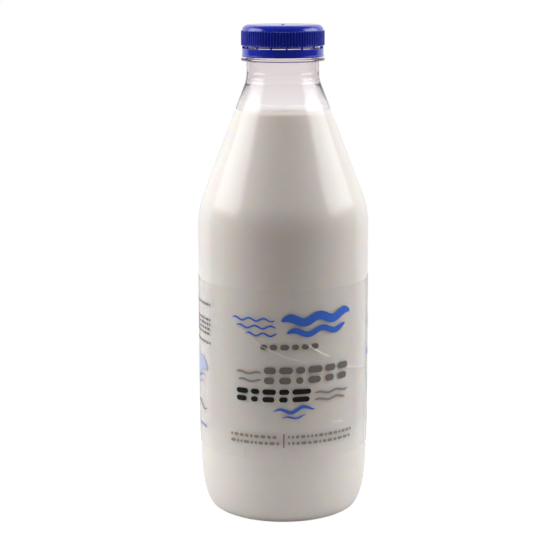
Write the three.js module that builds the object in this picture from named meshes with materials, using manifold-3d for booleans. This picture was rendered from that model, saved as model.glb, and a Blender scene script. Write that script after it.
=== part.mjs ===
// A round one-litre milk bottle of clear plastic, filled with milk, shut with a ribbed screw cap
// and wrapped in a clear printed film. Millimetres, +Z up.
// The origin lies under the bottle's axis, on the surface that it stands on.
import * as THREE from "three";
import { mergeVertices } from "three/addons/utils/BufferGeometryUtils.js";
import Module from "manifold-3d";

// Every round piece has the same number of sides, so nested walls stay parallel.
const SIDES = 40;

// Steps that an arc of a profile is drawn in
const DOME_STEPS = 4;
const HEEL_STEPS = 9;
const SHOULDER_STEPS = 4;
const THROAT_STEPS = 4;
const CAP_EDGE_STEPS = 5;

// Points closer to the axis, or to each other, than these count as on it, or as one.
const ON_AXIS = 1e-6;
const SAME_POINT = 1e-4;

// The blown body, from the base up
const BODY_RADIUS = 42.25;
const WALL = 0.5;
const FOOT_OUTER_RADIUS = 34.4;
const FOOT_INNER_RADIUS = 32.0;
const PUSH_UP_EDGE_RADIUS = 30.4;
const PUSH_UP_EDGE_HEIGHT = 2.0;
const PUSH_UP_HEIGHT = 6.0;
const HEEL_HEIGHT = 33.6;
const HEEL_POWER = 2.28;
const SHOULDER_START = 144.0;
const SHOULDER_RADIUS = 39.9;
const CONE_ANGLE = THREE.MathUtils.degToRad(21);
const THROAT_RADIUS = 16.9;

// The injection-moulded neck and finish
const NECK_RADIUS = 17.75;
const RING_RADIUS = 20.45;
const RING_BOTTOM = 224.2;
const RING_TOP = 225.4;
const RING_EDGE = 0.35;
const FINISH_RADIUS = 17.4;
const BEAD_RADIUS = 18.4;
const BEAD_BOTTOM = 228.2;
const BEAD_TOP = 230.3;
const BEAD_CREST = 0.9;
const MOUTH_TOP = 239.8;
const MOUTH_EDGE = 0.4;
const BORE_RADIUS = 15.8;

// Inside the neck the thick wall thins to the blown wall in three steps, seen as faint rings.
const STEP_HEIGHTS = [218.9, 216.2, 214.2];
const STEP_DEPTHS = [0.35, 0.3, 0.4];
const STEP_RISE = 0.5;
const THIN_WALL_TOP = 209.0;

// The cap with its tamper band
const CAP_TOP = 241.5;
const CAP_CORE_RADIUS = 19.9;
const CAP_RIB_RADIUS = 20.4;
const CAP_EDGE_ROUND = 3.0;
const CAP_TOP_THICKNESS = 1.4;
const CAP_INNER_RADIUS = 18.85;
const RIB_COUNT = 88;
const RIB_BOTTOM = 231.4;
const RIB_TOP = 238.8;
const RIB_CREST_SHARE = 0.4;
const COLLAR_BOTTOM = 231.05;
const COLLAR_RADIUS = 20.15;
const BAND_TOP = 230.15;
const BAND_BOTTOM = 226.1;
const BAND_RADIUS = 19.9;
const BAND_LIP_RADIUS = 20.1;
const BAND_LIP_HEIGHT = 1.1;
const BRIDGE_COUNT = 16;
const BRIDGE_WIDTH = 1.0;
const BRIDGE_OVERLAP = 0.25;

// The contents and the film
const MILK_LEVEL = 199.5;
const MILK_GAP = 0.3;
const FILM_BOTTOM = 34.0;
const FILM_TOP = 118.0;
const FILM_GAP = 0.12;
const FILM_THICKNESS = 0.12;

const point = (r, z) => new THREE.Vector2(r, z);

// Points on a circle's arc in the profile plane, both ends included.
function arc(centreR, centreZ, radius, fromAngle, toAngle, steps) {
  const points = [];
  for (let i = 0; i <= steps; i += 1) {
    const a = THREE.MathUtils.lerp(fromAngle, toAngle, i / steps);
    points.push(point(centreR + radius * Math.cos(a), centreZ + radius * Math.sin(a)));
  }
  return points;
}

// The heel is a quarter of a superellipse, from the foot ring to the straight side.
function heel(steps) {
  const points = [];
  for (let i = 0; i <= steps; i += 1) {
    const a = (i / steps) * (Math.PI / 2);
    const out = Math.sin(a) ** (2 / HEEL_POWER);
    const up = 1 - Math.cos(a) ** (2 / HEEL_POWER);
    const r = FOOT_OUTER_RADIUS + (BODY_RADIUS - FOOT_OUTER_RADIUS) * out;
    points.push(point(r, HEEL_HEIGHT * up));
  }
  return points;
}

// The push-up is a shallow dome that keeps the base off the table inside the foot ring.
function pushUp(steps) {
  const points = [];
  for (let i = 0; i <= steps; i += 1) {
    const share = i / steps;
    const rise = (PUSH_UP_HEIGHT - PUSH_UP_EDGE_HEIGHT) * (1 - share * share);
    points.push(point(PUSH_UP_EDGE_RADIUS * share, PUSH_UP_EDGE_HEIGHT + rise));
  }
  return points;
}

// The outside of the blown body: base, heel, side, shoulder, cone and the throat up to the neck.
function bodyOutline() {
  const shoulder = arc(
    BODY_RADIUS - SHOULDER_RADIUS,
    SHOULDER_START,
    SHOULDER_RADIUS,
    0,
    CONE_ANGLE,
    SHOULDER_STEPS,
  );
  const coneStart = shoulder[shoulder.length - 1];
  const coneEndRadius = NECK_RADIUS + THROAT_RADIUS * (1 - Math.cos(CONE_ANGLE));
  const coneEndHeight = coneStart.y + (coneStart.x - coneEndRadius) / Math.tan(CONE_ANGLE);
  const throat = arc(
    NECK_RADIUS + THROAT_RADIUS,
    coneEndHeight + THROAT_RADIUS * Math.sin(CONE_ANGLE),
    THROAT_RADIUS,
    Math.PI + CONE_ANGLE,
    Math.PI,
    THROAT_STEPS,
  );
  return [
    ...pushUp(DOME_STEPS),
    point(FOOT_INNER_RADIUS, 0),
    ...heel(HEEL_STEPS),
    ...shoulder,
    ...throat,
  ];
}

// Moves every point of an outline inwards, square to the outline, by the given distance.
function inset(outline, distance) {
  return outline.map((p, i) => {
    const before = outline[Math.max(i - 1, 0)];
    const after = outline[Math.min(i + 1, outline.length - 1)];
    const along = after.clone().sub(before).normalize();
    if (p.x < ON_AXIS) {
      return point(0, p.y + distance);
    }
    return point(p.x - along.y * distance, p.y + along.x * distance);
  });
}

// Keeps the part of the body's outline below a height in its shoulder or throat, and ends it there.
function below(outline, height) {
  const next = outline.findIndex((p) => p.y > height);
  const a = outline[next - 1];
  const b = outline[next];
  const end = a.clone().lerp(b, (height - a.y) / (b.y - a.y));
  return [...outline.slice(0, next), end];
}

// Turns a closed profile about the Z axis. The profile runs anticlockwise, with r to the right.
function turned(profile) {
  const geometry = new THREE.LatheGeometry(profile, SIDES);
  geometry.rotateX(Math.PI / 2);
  return geometry;
}

const wasm = await Module();
wasm.setup();

// A closed geometry as a solid that can be joined to another.
function solid(geometry) {
  const bare = geometry.clone();
  bare.deleteAttribute("normal");
  bare.deleteAttribute("uv");
  const merged = mergeVertices(bare, SAME_POINT);
  const mesh = new wasm.Mesh({
    numProp: 3,
    vertProperties: new Float32Array(merged.attributes.position.array),
    triVerts: new Uint32Array(merged.index.array),
  });
  return new wasm.Manifold(mesh);
}

// A joined solid as a geometry again.
function geometryOf(joined) {
  const mesh = joined.getMesh();
  const geometry = new THREE.BufferGeometry();
  geometry.setAttribute("position", new THREE.BufferAttribute(mesh.vertProperties, 3));
  geometry.setIndex(new THREE.BufferAttribute(mesh.triVerts, 1));
  geometry.computeVertexNormals();
  return geometry;
}

// The bottle is one moulding: a thin blown body under a thick neck, open at the mouth.
function bottleGeometry() {
  const outside = bodyOutline();
  const neck = [
    point(NECK_RADIUS, RING_BOTTOM - RING_EDGE),
    point(NECK_RADIUS + RING_EDGE, RING_BOTTOM),
    point(RING_RADIUS - RING_EDGE, RING_BOTTOM),
    point(RING_RADIUS, RING_BOTTOM + RING_EDGE),
    point(RING_RADIUS, RING_TOP - RING_EDGE),
    point(RING_RADIUS - RING_EDGE, RING_TOP),
    point(FINISH_RADIUS, RING_TOP),
    point(FINISH_RADIUS, BEAD_BOTTOM),
    point(BEAD_RADIUS, BEAD_BOTTOM + RING_EDGE),
    point(BEAD_RADIUS, BEAD_BOTTOM + BEAD_CREST),
    point(FINISH_RADIUS, BEAD_TOP),
    point(FINISH_RADIUS, MOUTH_TOP - MOUTH_EDGE),
    point(FINISH_RADIUS - MOUTH_EDGE, MOUTH_TOP),
    point(BORE_RADIUS + MOUTH_EDGE, MOUTH_TOP),
    point(BORE_RADIUS, MOUTH_TOP - MOUTH_EDGE),
  ];
  const steps = [];
  let r = BORE_RADIUS;
  STEP_HEIGHTS.forEach((z, i) => {
    steps.push(point(r, z));
    r += STEP_DEPTHS[i];
    steps.push(point(r, z - STEP_RISE));
  });
  const inside = below(inset(outside, WALL), THIN_WALL_TOP).reverse();
  return turned([...outside, ...neck, ...steps, ...inside]);
}

// The milk fills the body up to its level, a small gap inside the wall.
function milkGeometry() {
  const side = below(inset(bodyOutline(), WALL + MILK_GAP), MILK_LEVEL);
  return turned([...side, point(0, MILK_LEVEL)]);
}

// The film is a thin sleeve round the straight side.
function filmGeometry() {
  const innerRadius = BODY_RADIUS + FILM_GAP;
  const outerRadius = innerRadius + FILM_THICKNESS;
  return turned([
    point(innerRadius, FILM_BOTTOM),
    point(outerRadius, FILM_BOTTOM),
    point(outerRadius, FILM_TOP),
    point(innerRadius, FILM_TOP),
    point(innerRadius, FILM_BOTTOM),
  ]);
}

// The grip ribs stand on the cap's skirt as one toothed ring, with a V-shaped groove between ribs.
function ribGeometry() {
  const outline = new THREE.Shape();
  const pitch = (2 * Math.PI) / RIB_COUNT;
  const offsets = [-1 / 2, -RIB_CREST_SHARE / 2, RIB_CREST_SHARE / 2];
  const radii = [CAP_CORE_RADIUS, CAP_RIB_RADIUS, CAP_RIB_RADIUS];
  const points = [];
  for (let i = 0; i < RIB_COUNT; i += 1) {
    offsets.forEach((offset, k) => {
      const a = (i + offset) * pitch;
      points.push(point(radii[k] * Math.cos(a), radii[k] * Math.sin(a)));
    });
  }
  outline.setFromPoints(points);
  const hole = new THREE.Path();
  const holeRadius = (CAP_INNER_RADIUS + CAP_CORE_RADIUS) / 2;
  hole.absarc(0, 0, holeRadius, 0, 2 * Math.PI, true);
  outline.holes.push(hole);
  const ring = new THREE.ExtrudeGeometry(outline, {
    depth: RIB_TOP - RIB_BOTTOM,
    bevelEnabled: false,
    curveSegments: SIDES / 2,
  });
  ring.translate(0, 0, RIB_BOTTOM);
  return ring;
}

// The cap's top and skirt, as one cup that is open at the bottom.
function capCupGeometry() {
  const rounded = arc(
    CAP_CORE_RADIUS - CAP_EDGE_ROUND,
    CAP_TOP - CAP_EDGE_ROUND,
    CAP_EDGE_ROUND,
    0,
    Math.PI / 2,
    CAP_EDGE_STEPS,
  );
  const underside = CAP_TOP - CAP_TOP_THICKNESS;
  return turned([
    point(0, underside),
    point(CAP_INNER_RADIUS, underside),
    point(CAP_INNER_RADIUS, COLLAR_BOTTOM),
    point(COLLAR_RADIUS, COLLAR_BOTTOM),
    point(COLLAR_RADIUS, RIB_BOTTOM),
    point(CAP_CORE_RADIUS, RIB_BOTTOM),
    ...rounded,
    point(0, CAP_TOP),
  ]);
}

// The tamper band hangs under the skirt on thin bridges, with an open slit between them.
function bandGeometry() {
  return turned([
    point(CAP_INNER_RADIUS, BAND_TOP),
    point(CAP_INNER_RADIUS, BAND_BOTTOM),
    point(BAND_RADIUS, BAND_BOTTOM),
    point(BAND_RADIUS, BAND_TOP - BAND_LIP_HEIGHT),
    point(BAND_LIP_RADIUS, BAND_TOP - BAND_LIP_HEIGHT),
    point(BAND_LIP_RADIUS, BAND_TOP),
    point(CAP_INNER_RADIUS, BAND_TOP),
  ]);
}

// One bridge is a small post across the slit, let into the skirt above it and the band below.
function bridgeGeometry(index) {
  const depth = (CAP_CORE_RADIUS - CAP_INNER_RADIUS) / 2;
  const height = COLLAR_BOTTOM - BAND_TOP + 2 * BRIDGE_OVERLAP;
  const bridge = new THREE.BoxGeometry(depth, BRIDGE_WIDTH, height);
  const middle = (CAP_CORE_RADIUS + CAP_INNER_RADIUS) / 2;
  bridge.translate(middle, 0, (COLLAR_BOTTOM + BAND_TOP) / 2);
  bridge.rotateZ((index + 0.5) * ((2 * Math.PI) / BRIDGE_COUNT));
  return bridge;
}

// Cap, ribs, bridges and band are moulded in one piece.
function capGeometry() {
  let joined = solid(capCupGeometry());
  joined = joined.add(solid(ribGeometry()));
  joined = joined.add(solid(bandGeometry()));
  for (let i = 0; i < BRIDGE_COUNT; i += 1) {
    joined = joined.add(solid(bridgeGeometry(i)));
  }
  return geometryOf(joined);
}

const clearPlastic = new THREE.MeshStandardMaterial({
  color: 0xe8e4e6,
  roughness: 0.06,
  metalness: 0,
  transparent: true,
  opacity: 0.35,
});
const milk = new THREE.MeshStandardMaterial({ color: 0xf1ede6, roughness: 0.35, metalness: 0 });
const bluePlastic = new THREE.MeshStandardMaterial({ color: 0x2434a0, roughness: 0.28, metalness: 0 });
const clearFilm = new THREE.MeshStandardMaterial({
  color: 0xe9eaf0,
  roughness: 0.12,
  metalness: 0,
  transparent: true,
  opacity: 0.25,
});

const bottle = new THREE.Group();

function addPiece(name, geometry, material) {
  const mesh = new THREE.Mesh(geometry, material);
  mesh.name = name;
  bottle.add(mesh);
}

addPiece("bottle", bottleGeometry(), clearPlastic);
addPiece("milk", milkGeometry(), milk);
addPiece("cap", capGeometry(), bluePlastic);
addPiece("label_film", filmGeometry(), clearFilm);

export default bottle;
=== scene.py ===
# %% [markdown]
# A one-litre bottle of milk: a clear blown bottle, the milk in it, a ribbed blue screw cap and a thin
# clear printed film round the body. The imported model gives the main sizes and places, and this script
# makes the looks: fine meshes in the same places, their finishes, a plain studio and a camera.

# %% Load the frame
import math
import random

import bmesh
import bpy
import numpy as np
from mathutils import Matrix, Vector


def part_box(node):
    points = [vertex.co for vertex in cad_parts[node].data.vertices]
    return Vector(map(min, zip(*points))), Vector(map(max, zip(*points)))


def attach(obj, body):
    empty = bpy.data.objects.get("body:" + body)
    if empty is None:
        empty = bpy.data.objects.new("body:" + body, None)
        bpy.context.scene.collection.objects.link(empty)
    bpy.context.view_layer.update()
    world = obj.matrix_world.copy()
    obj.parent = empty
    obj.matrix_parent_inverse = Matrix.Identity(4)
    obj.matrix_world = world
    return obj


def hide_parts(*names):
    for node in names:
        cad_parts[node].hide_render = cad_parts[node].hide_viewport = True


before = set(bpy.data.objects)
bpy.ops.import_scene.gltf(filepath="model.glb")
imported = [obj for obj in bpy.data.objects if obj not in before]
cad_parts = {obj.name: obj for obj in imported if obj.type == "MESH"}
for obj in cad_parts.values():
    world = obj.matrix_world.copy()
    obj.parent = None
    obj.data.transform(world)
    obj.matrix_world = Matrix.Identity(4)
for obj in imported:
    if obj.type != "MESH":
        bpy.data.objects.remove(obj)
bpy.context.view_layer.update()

MM = 0.001
scene = bpy.context.scene
print("nodes:", sorted(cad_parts))

# %% [markdown]
# The sizes come from the model's boxes where a box gives them. The rest are given here, mostly as the
# model was drawn, in millimetres: radii from the axis, and heights above the table.

# %% Sizes that the model's boxes give
bottle_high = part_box("bottle")[1] / MM
milk_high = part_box("milk")[1] / MM
cap_low, cap_high = (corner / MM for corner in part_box("cap"))
film_low, film_high = (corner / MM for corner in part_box("label_film"))
BODY_RADIUS = bottle_high.x
MOUTH_TOP = bottle_high.z
MILK_LEVEL = milk_high.z
CAP_TOP = cap_high.z
BAND_BOTTOM = cap_low.z
FILM_RADIUS = film_high.x
FILM_BOTTOM = film_low.z
FILM_TOP = film_high.z
print(f"body {2 * BODY_RADIUS:.1f} mm across, milk up to {MILK_LEVEL:.1f}, cap top at {CAP_TOP:.1f}")

# %% Sizes of the blown body
WALL = 0.5
FOOT_OUTER_RADIUS = 34.4
FOOT_INNER_RADIUS = 32.0
PUSH_UP_EDGE_RADIUS = 30.4
PUSH_UP_EDGE_HEIGHT = 2.0
PUSH_UP_HEIGHT = 6.0
GATE_RADIUS = 1.6
GATE_DROP = 0.7
HEEL_HEIGHT = 33.6
HEEL_POWER = 2.28
SHOULDER_START = 144.0
SHOULDER_RADIUS = 39.9
CONE_ANGLE = math.radians(21)
THROAT_RADIUS = 16.9

# %% Sizes of the neck and its finish
NECK_RADIUS = 17.75
RING_RADIUS = 20.45
RING_BOTTOM = 224.2
RING_TOP = 225.4
RING_EDGE = 0.35
FINISH_RADIUS = 17.4
BEAD_RADIUS = 18.4
BEAD_BOTTOM = 228.2
BEAD_TOP = 230.3
BEAD_FLAT = 1.0
BORE_RADIUS = 15.8
STEP_HEIGHTS = (218.9, 216.2, 214.2)
STEP_DEPTHS = (0.15, 0.25, 0.35)
STEP_RISE = 1.1
STEP_ROUND = 2.0
STAIR_LEAD = 2.0
THIN_WALL_TOP = 205.0

# %% Sizes of the cap
CAP_CORE_RADIUS = 19.9
CAP_EDGE_ROUND = 3.0
CAP_TOP_THICKNESS = 1.4
CAP_INNER_RADIUS = 18.85
CAP_SINK = 0.05
RIB_COUNT = 88
RIB_HEIGHT = 0.5
RIB_WIDTH = 0.95
RIB_BOTTOM = 231.7
RIB_TOP = 238.8
RIB_END_ZONE = 1.0
RIB_START = RIB_BOTTOM + 0.01
COLLAR_BOTTOM = 231.3
COLLAR_RADIUS = 20.2
BAND_TOP = 230.15
BAND_RADIUS = 19.9
BAND_LIP_RADIUS = 20.1
BAND_LIP_HEIGHT = 0.7
BRIDGE_COUNT = 16
BRIDGE_RADIUS = 0.5
BRIDGE_ROOTS = 0.5
BRIDGE_TURN = math.radians(5.5)

# %% [markdown]
# Almost everything on a bottle is turned: one outline goes once round the axis. It could be drawn by
# hand as a curve, but one changed size would mean drawing it again. So the outlines are worked out, as
# lists of (radius, height) in millimetres. Each corner has a small radius, because no moulded edge is
# sharp and it's the rounding that catches the light.

# %% Helpers that draw outlines
def arc(centre_r, centre_z, radius, start, end, steps):
    """Points on a circle's arc, both ends included."""
    points = []
    for i in range(steps + 1):
        a = start + (end - start) * i / steps
        points.append((centre_r + radius * math.cos(a), centre_z + radius * math.sin(a)))
    return points


def rounded(corners, steps=5):
    """A line through corners (radius, height, rounding), each corner with its own rounding."""
    points = []
    for i, (r, z, rounding) in enumerate(corners):
        here = Vector((r, z))
        if rounding == 0 or i in (0, len(corners) - 1):
            points.append((r, z))
            continue
        to_before = (Vector(corners[i - 1][:2]) - here).normalized()
        to_after = (Vector(corners[i + 1][:2]) - here).normalized()
        half = to_before.angle(to_after) / 2
        centre = here + (to_before + to_after).normalized() * rounding / math.sin(half)
        start = here + to_before * rounding / math.tan(half) - centre
        end = here + to_after * rounding / math.tan(half) - centre
        sweep = start.angle_signed(end)
        for k in range(steps + 1):
            turn = -sweep * k / steps
            x = start.x * math.cos(turn) - start.y * math.sin(turn)
            y = start.x * math.sin(turn) + start.y * math.cos(turn)
            points.append((centre.x + x, centre.y + y))
    return points


def filled(points, longest):
    """The same line with extra points, so that no stretch is longer than the given length."""
    line = [points[0]]
    for (r0, z0), (r1, z1) in zip(points, points[1:]):
        parts = max(1, math.ceil(math.hypot(r1 - r0, z1 - z0) / longest))
        for k in range(1, parts + 1):
            line.append((r0 + (r1 - r0) * k / parts, z0 + (z1 - z0) * k / parts))
    return line


def inset(outline, distance):
    """The line moved inwards, to the left of its way along, by the given distance."""
    moved = []
    for i, (r, z) in enumerate(outline):
        before = Vector(outline[max(i - 1, 0)])
        after = Vector(outline[min(i + 1, len(outline) - 1)])
        along = (after - before).normalized()
        moved.append((max(r - along.y * distance, 0.0), z + along.x * distance))
    return moved


def below(outline, height):
    """The part of the body's outline under a height in its shoulder or throat, ended there."""
    top = next(i for i, (r, z) in enumerate(outline) if i and z > height)
    (r0, z0), (r1, z1) = outline[top - 1], outline[top]
    share = (height - z0) / (z1 - z0)
    return outline[:top] + [(r0 + (r1 - r0) * share, height)]


# %% Outline of the blown body, from under the base up to the neck
PUSH_UP_STEPS = 14
HEEL_STEPS = 36
BEND_STEPS = 16
LONGEST_BODY_STEP = 3.0


def push_up(steps):
    """The domed base, with the small button that the moulding gate leaves at its middle."""
    points = [(0.0, PUSH_UP_HEIGHT - GATE_DROP)]
    points.append((GATE_RADIUS * 0.8, PUSH_UP_HEIGHT - GATE_DROP))
    for i in range(steps + 1):
        share = GATE_RADIUS / PUSH_UP_EDGE_RADIUS + (1 - GATE_RADIUS / PUSH_UP_EDGE_RADIUS) * i / steps
        rise = (PUSH_UP_HEIGHT - PUSH_UP_EDGE_HEIGHT) * (1 - share * share)
        points.append((PUSH_UP_EDGE_RADIUS * share, PUSH_UP_EDGE_HEIGHT + rise))
    return points


def heel(steps):
    """A quarter of a superellipse, from the foot ring to the straight side."""
    points = []
    for i in range(steps + 1):
        a = math.pi / 2 * i / steps
        out = math.sin(a) ** (2 / HEEL_POWER)
        up = 1 - math.cos(a) ** (2 / HEEL_POWER)
        points.append((FOOT_OUTER_RADIUS + (BODY_RADIUS - FOOT_OUTER_RADIUS) * out, HEEL_HEIGHT * up))
    return points


def body_outline():
    """The foot, the heel, the straight side, the conical shoulder and the throat, as one line."""
    shoulder = arc(BODY_RADIUS - SHOULDER_RADIUS, SHOULDER_START, SHOULDER_RADIUS, 0, CONE_ANGLE,
                   BEND_STEPS)
    cone_end_radius = NECK_RADIUS + THROAT_RADIUS * (1 - math.cos(CONE_ANGLE))
    cone_end_height = shoulder[-1][1] + (shoulder[-1][0] - cone_end_radius) / math.tan(CONE_ANGLE)
    throat_height = cone_end_height + THROAT_RADIUS * math.sin(CONE_ANGLE)
    throat = arc(NECK_RADIUS + THROAT_RADIUS, throat_height, THROAT_RADIUS, math.pi + CONE_ANGLE, math.pi,
                 BEND_STEPS)
    foot = rounded([(PUSH_UP_EDGE_RADIUS, PUSH_UP_EDGE_HEIGHT, 0), (FOOT_INNER_RADIUS, 0, 0.7),
                    (FOOT_OUTER_RADIUS, 0, 0)])
    return push_up(PUSH_UP_STEPS)[:-1] + foot[:-1] + heel(HEEL_STEPS) + shoulder + throat


body = filled(body_outline(), LONGEST_BODY_STEP)
print(f"body outline: {len(body)} points, up to {body[-1][1]:.1f} mm")

# %% [markdown]
# A Screw modifier could turn an outline about the axis, but it can't add ribs on the way. So a small
# Geometry Nodes tree does it. It lays out a flat grid, one column for each step round and one row for
# each point of the outline, and moves every grid point to its place. The same tree raises ribs on a
# band of the outside, which is how the cap gets its grip: a rib is a capsule shape, so its end is
# round, as a moulded one is. A rib height of nothing leaves a plain wall.

# %% Helpers that build node trees
def feed(tree, socket, value):
    """Gives an input either another node's output or a plain value."""
    if isinstance(value, bpy.types.NodeSocket):
        tree.links.new(value, socket)
    else:
        socket.default_value = value


def add(tree, kind, values=None, **settings):
    """Adds a node, makes its settings and feeds its inputs, which are named or numbered."""
    node = tree.nodes.new(kind)
    for name, value in settings.items():
        setattr(node, name, value)
    for key, value in (values or {}).items():
        feed(tree, node.inputs[key], value)
    return node


def maths(tree, operation, *values):
    """One Math node: the given operation on one, two or three values."""
    kind = "ShaderNodeMath"
    return add(tree, kind, dict(enumerate(values)), operation=operation).outputs[0]


def start_tree(name, inputs):
    """A Geometry Nodes tree with geometry in and out, and the given named inputs."""
    tree = bpy.data.node_groups.new(name, "GeometryNodeTree")
    face = tree.interface
    face.new_socket("Geometry", in_out="INPUT", socket_type="NodeSocketGeometry")
    for label, kind in inputs.items():
        face.new_socket(label, in_out="INPUT", socket_type="NodeSocket" + kind)
    face.new_socket("Geometry", in_out="OUTPUT", socket_type="NodeSocketGeometry")
    return tree, tree.nodes.new("NodeGroupInput").outputs, tree.nodes.new("NodeGroupOutput").inputs


def end_tree(tree, geometry, given, result):
    """The end of every tree: real geometry, in the given material."""
    real = add(tree, "GeometryNodeRealizeInstances", {"Geometry": geometry})
    dressed = add(tree, "GeometryNodeSetMaterial", {
        "Geometry": real.outputs["Geometry"], "Material": given["Material"]})
    tree.links.new(dressed.outputs["Geometry"], result["Geometry"])


def carrier_of(name, source):
    """A passing object that holds a mesh or curve while a modifier works on it."""
    carrier = bpy.data.objects.new(name + "_carrier", source)
    scene.collection.objects.link(carrier)
    return carrier


def made_by(carrier, name):
    """What the carrier's modifier makes, as a plain mesh. The carrier goes."""
    depsgraph = bpy.context.evaluated_depsgraph_get()
    mesh = bpy.data.meshes.new_from_object(carrier.evaluated_get(depsgraph))
    mesh.name = name
    carrier.modifiers.clear()
    bpy.data.objects.remove(carrier)
    return mesh


def grow(name, source, tree, values):
    """Runs a tree on a mesh or curve and gives what it makes as a plain mesh."""
    carrier = carrier_of(name, source)
    modifier = carrier.modifiers.new("grow", "NODES")
    modifier.node_group = tree
    for item in tree.interface.items_tree:
        if item.item_type == "SOCKET" and item.in_out == "INPUT" and item.name in values:
            modifier[item.identifier] = values[item.name]
    return made_by(carrier, name)


# %% The tree that turns an outline
MERGE_WITHIN = 2e-6
RIB_WALL_TOLERANCE = 0.0002
RIB_FLANK_SHARE = 0.75


def turning_tree():
    """Turns an outline, given as points in the XZ plane, and raises ribs where they are asked for."""
    tree, given, result = start_tree("turn_outline", {
        "Segments": "Int", "Rib Count": "Float", "Rib Height": "Float", "Rib Width": "Float",
        "Rib Low": "Float", "Rib High": "Float", "Rib Radius": "Float", "Material": "Material"})
    size = add(tree, "GeometryNodeAttributeDomainSize", {"Geometry": given["Geometry"]})
    rows = size.outputs["Point Count"]
    grid = add(tree, "GeometryNodeMeshGrid", {
        "Size X": 1.0, "Size Y": 1.0, "Vertices X": maths(tree, "ADD", given["Segments"], 1.0),
        "Vertices Y": rows})
    kept = add(tree, "GeometryNodeStoreNamedAttribute", {
        "Geometry": grid.outputs["Mesh"], "Name": "UVMap", "Value": grid.outputs["UV Map"]},
        data_type="FLOAT2", domain="CORNER")
    position = tree.nodes.new("GeometryNodeInputPosition").outputs[0]
    place = add(tree, "ShaderNodeSeparateXYZ", {0: position})
    angle = maths(tree, "MULTIPLY", place.outputs["X"], 2 * math.pi)
    row = maths(tree, "MULTIPLY", maths(tree, "ADD", place.outputs["Y"], 0.5),
                maths(tree, "SUBTRACT", rows, 1.0))
    sample = add(tree, "GeometryNodeSampleIndex", {
        "Geometry": given["Geometry"], "Index": maths(tree, "ROUND", row), "Value": position},
        data_type="FLOAT_VECTOR", domain="POINT")
    outline = add(tree, "ShaderNodeSeparateXYZ", {0: sample.outputs[0]})
    radius, height = outline.outputs["X"], outline.outputs["Z"]

    pitch = maths(tree, "DIVIDE", 2 * math.pi, given["Rib Count"])
    around = maths(tree, "WRAP", angle, maths(tree, "DIVIDE", pitch, 2.0), maths(tree, "DIVIDE", pitch, -2.0))
    across = maths(tree, "MULTIPLY", around, given["Rib Radius"])
    half = maths(tree, "DIVIDE", given["Rib Width"], 2.0)
    over = maths(tree, "SUBTRACT", height, maths(tree, "SUBTRACT", given["Rib High"], half))
    beyond = maths(tree, "MAXIMUM", over, 0.0)
    reach = maths(tree, "SQRT", maths(tree, "ADD", maths(tree, "MULTIPLY", across, across),
                                      maths(tree, "MULTIPLY", beyond, beyond)))
    share = maths(tree, "SUBTRACT", 1.0, maths(tree, "DIVIDE", reach, half))
    crest = add(tree, "ShaderNodeMapRange", {"Value": share, "From Min": 0.0, "From Max": RIB_FLANK_SHARE,
                                             "To Min": 0.0, "To Max": 1.0},
                interpolation_type="SMOOTHSTEP").outputs[0]
    wall = maths(tree, "SUBTRACT", given["Rib Radius"], RIB_WALL_TOLERANCE)
    on_band = maths(tree, "MULTIPLY", maths(tree, "GREATER_THAN", height, given["Rib Low"]),
                    maths(tree, "GREATER_THAN", radius, wall))
    lift = maths(tree, "MULTIPLY", maths(tree, "MULTIPLY", crest, on_band), given["Rib Height"])
    far = maths(tree, "ADD", radius, lift)

    moved = add(tree, "ShaderNodeCombineXYZ", {
        "X": maths(tree, "MULTIPLY", far, maths(tree, "SINE", angle)),
        "Y": maths(tree, "MULTIPLY", far, maths(tree, "MULTIPLY", maths(tree, "COSINE", angle), -1.0)),
        "Z": height})
    bent = add(tree, "GeometryNodeSetPosition", {
        "Geometry": kept.outputs["Geometry"], "Position": moved.outputs[0]})
    closed = add(tree, "GeometryNodeMergeByDistance", {
        "Geometry": bent.outputs["Geometry"], "Distance": MERGE_WITHIN})
    smooth = add(tree, "GeometryNodeSetShadeSmooth", {"Geometry": closed.outputs["Geometry"]})
    end_tree(tree, smooth.outputs["Geometry"], given, result)
    return tree


TURN = turning_tree()


def turned(name, outline, material, segments=256, **ribs):
    """A closed outline in millimetres, turned about the axis into a mesh in metres."""
    line = bpy.data.meshes.new(name + "_outline")
    line.from_pydata([(r * MM, 0.0, z * MM) for r, z in outline], [], [])
    values = {"Segments": segments, "Rib Count": 1.0, "Rib Height": 0.0, "Rib Width": 1.0,
              "Rib Low": 0.0, "Rib High": 0.0, "Rib Radius": 1.0, "Material": material}
    values.update({key.replace("_", " ").title(): value for key, value in ribs.items()})
    mesh = grow(name, line, TURN, values)
    print(f"{name}: {len(outline)} points x {segments} steps, {len(mesh.polygons)} faces")
    return mesh


def piece(name, mesh, stands_for=None):
    """Puts a finished mesh in the scene, on the one body that the bottle has."""
    thing = bpy.data.objects.new(name, mesh)
    scene.collection.objects.link(thing)
    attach(thing, "root")
    if stands_for:
        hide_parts(stands_for)
    return thing


# %% [markdown]
# Finishes. Pictures could be wrapped round the pieces, but noise needs no files, has no seams and
# stays sharp close up. So each finish is a Principled shader with its own small network for
# unevenness, and no surface is one flat colour. All the patterns read Object coordinates, which are
# metres here, so a noise scale of 100 gives lumps of about a centimetre.

# %% Helpers for finishes
def start_finish(name):
    """A new material, its node tree, its Principled shader and the place that its patterns read."""
    finish = bpy.data.materials.new(name)
    finish.use_nodes = True
    tree = finish.node_tree
    shader = tree.nodes["Principled BSDF"]
    place = tree.nodes.new("ShaderNodeTexCoord").outputs["Object"]
    return finish, tree, shader, place


def settle(shader, values):
    """Sets plain values on the shader's own inputs."""
    for name, value in values.items():
        shader.inputs[name].default_value = value


def speckle(tree, place, scale, detail=2.0):
    """Smooth noise between 0 and 1."""
    return add(tree, "ShaderNodeTexNoise", {"Vector": place, "Scale": scale, "Detail": detail}).outputs[0]


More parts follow.
